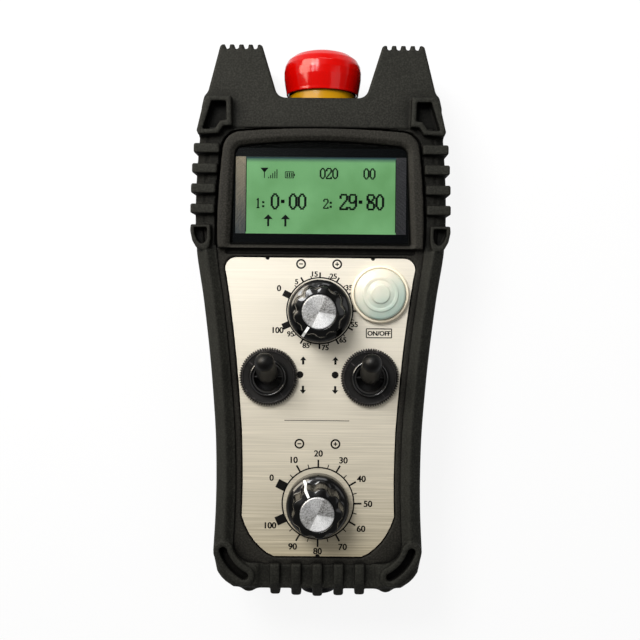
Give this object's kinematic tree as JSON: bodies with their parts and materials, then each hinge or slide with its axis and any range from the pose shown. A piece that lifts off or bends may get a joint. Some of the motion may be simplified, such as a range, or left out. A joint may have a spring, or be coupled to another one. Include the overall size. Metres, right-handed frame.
{
  "type": "crane radio remote control",
  "caption": "Hand-held radio remote in a ribbed rubber boot with a screen, speed knobs, toggles, a power button and a stop button between two guard horns.",
  "frame": {"origin": "middle of the back, on the surface that the unit lies on", "axes": "+X to the right across the face, +Y along the unit towards the stop button, +Z out of the face"},
  "size_m": [0.093, 0.2032, 0.0576],
  "materials": {
    "boot_rubber": "moulded, fine grain",
    "housing_black": "fine spark-eroded grain",
    "seal_grey": "smooth",
    "steel": "machined",
    "plate_ivory": "brushed, warm anodised",
    "window_clear": "clear, dark printed border",
    "display_metal": "brushed",
    "display_green": "lit",
    "backlight_white": "diffusing",
    "board_green": "soldermask",
    "ribbon_amber": "film",
    "black_plastic": "satin",
    "black_metal": "black, knurled",
    "knob_black": "gloss",
    "cap_aluminium": "spun",
    "pot_metal": "plated",
    "battery_wrap": "shrink film",
    "foam_grey": "closed-cell foam",
    "sleeve_rubber": "smooth",
    "ring_beige": "satin",
    "cap_aqua": "translucent",
    "plunger_white": "satin",
    "stop_red": "gloss",
    "collar_yellow": "satin gloss",
    "socket_metal": "nickel",
    "plug_rubber": "smooth"
  },
  "bodies": {
    "unit": {"rubber_boot": "boot_rubber", "front_shell": "housing_black", "back_shell": "housing_black", "shell_seal": "seal_grey", "shell_screws": "steel", "face_plate": "plate_ivory", "screen_window": "window_clear", "lcd_frame": "display_metal", "lcd_glass": "display_green", "lcd_backlight": "backlight_white", "display_board": "board_green", "display_screws": "steel", "display_ribbon": "ribbon_amber", "main_board": "board_green", "board_screws": "steel", "radio_module": "display_metal", "antenna": "black_plastic", "buzzer": "black_plastic", "battery_pack": "battery_wrap", "battery_foam": "foam_grey", "pot_case_1": "pot_metal", "pot_case_2": "pot_metal", "pot_washers": "steel", "pot_nuts": "steel", "toggle_case_a": "black_plastic", "toggle_nut_a": "black_metal", "toggle_pin_a": "steel", "toggle_case_b": "black_plastic", "toggle_nut_b": "black_metal", "toggle_pin_b": "steel", "power_switch": "black_plastic", "power_nut": "steel", "power_ring": "ring_beige", "stop_collar": "collar_yellow", "stop_barrel": "black_plastic", "stop_nut": "steel", "stop_contact_block": "plunger_white", "stop_spring": "steel", "charge_socket": "socket_metal", "charge_nut": "steel"},
    "upper_knob": {"pot_shaft_2": "steel", "knob_2": "knob_black", "knob_cap_2": "cap_aluminium", "knob_screw_2": "black_metal"},
    "lower_knob": {"pot_shaft_1": "steel", "knob_1": "knob_black", "knob_cap_1": "cap_aluminium", "knob_screw_1": "black_metal"},
    "left_toggle": {"toggle_lever_a": "steel", "toggle_sleeve_a": "sleeve_rubber"},
    "right_toggle": {"toggle_lever_b": "steel", "toggle_sleeve_b": "sleeve_rubber"},
    "power_button": {"power_plunger": "plunger_white", "power_cap": "cap_aqua"},
    "stop_shaft": {"stop_stem": "steel"},
    "stop_mushroom": {"stop_head": "stop_red"},
    "dust_plug": {"charge_plug": "plug_rubber"}
  },
  "joints": [
    {"name": "lower_knob_turn", "type": "hinge", "parent": "unit", "child": "lower_knob", "pos_m": [0, -0.06457, 0.036], "axis": [0, 0, 1], "range_deg": [-267, 33]},
    {"name": "upper_knob_turn", "type": "hinge", "parent": "unit", "child": "upper_knob", "pos_m": [0, 0.00483, 0.036], "axis": [0, 0, 1], "range_deg": [-26.5, 273.5]},
    {"name": "left_toggle_tilt", "type": "hinge", "parent": "unit", "child": "left_toggle", "pos_m": [-0.0182, -0.01897, 0.0385], "axis": [1, 0, 0], "range_deg": [0, 45]},
    {"name": "right_toggle_tilt", "type": "hinge", "parent": "unit", "child": "right_toggle", "pos_m": [0.0182, -0.01897, 0.0385], "axis": [1, 0, 0], "range_deg": [0, 45]},
    {"name": "power_press", "type": "slide", "parent": "unit", "child": "power_button", "axis": [0, 0, -1], "range_m": [0, 0.0015], "stiffness_N_per_m": 1500, "springref_m": -0.0005},
    {"name": "stop_press", "type": "slide", "parent": "unit", "child": "stop_shaft", "axis": [0, -1, 0], "range_m": [0, 0.003], "stiffness_N_per_m": 3000, "springref_m": -0.002, "deforming": ["stop_spring"]},
    {"name": "stop_twist_release", "type": "hinge", "parent": "stop_shaft", "child": "stop_mushroom", "pos_m": [0, 0.09, 0.022], "axis": [0, 1, 0], "range_deg": [0, 30], "stiffness_Nm_per_rad": 0.1},
    {"name": "dust_plug_pull", "type": "slide", "parent": "unit", "child": "dust_plug", "axis": [0, -1, 0], "range_m": [0, 0.01]}
  ]
}
